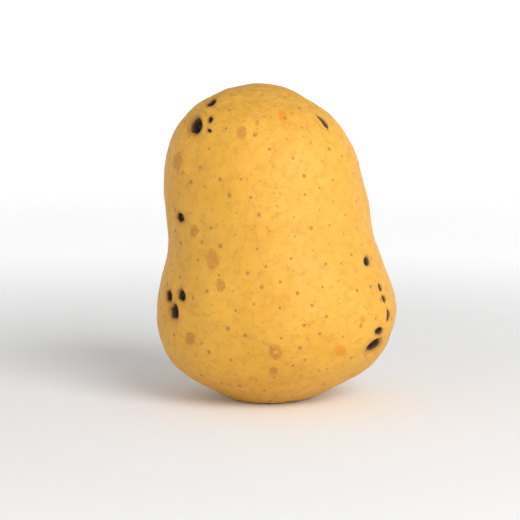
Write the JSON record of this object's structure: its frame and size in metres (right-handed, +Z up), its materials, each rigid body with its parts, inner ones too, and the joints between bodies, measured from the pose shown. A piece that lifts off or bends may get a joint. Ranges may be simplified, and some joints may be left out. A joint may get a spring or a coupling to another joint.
{
  "type": "potato",
  "caption": "Whole yellow-skinned potato, waisted and narrower at the top, with sunken eyes, standing on a small flat spot at its broad end.",
  "frame": {"origin": "on the surface that the potato stands on, under the middle of its bounding box", "axes": "+Z up from the flat spot at the broad end towards the narrow end; +X to the right and -Y towards the viewer, seen from the front"},
  "size_m": [0.0764, 0.0684, 0.1],
  "materials": {
    "potato_skin": "washed potato skin, low sheen"
  },
  "bodies": {
    "root": {"potato": "potato_skin"}
  },
  "joints": []
}
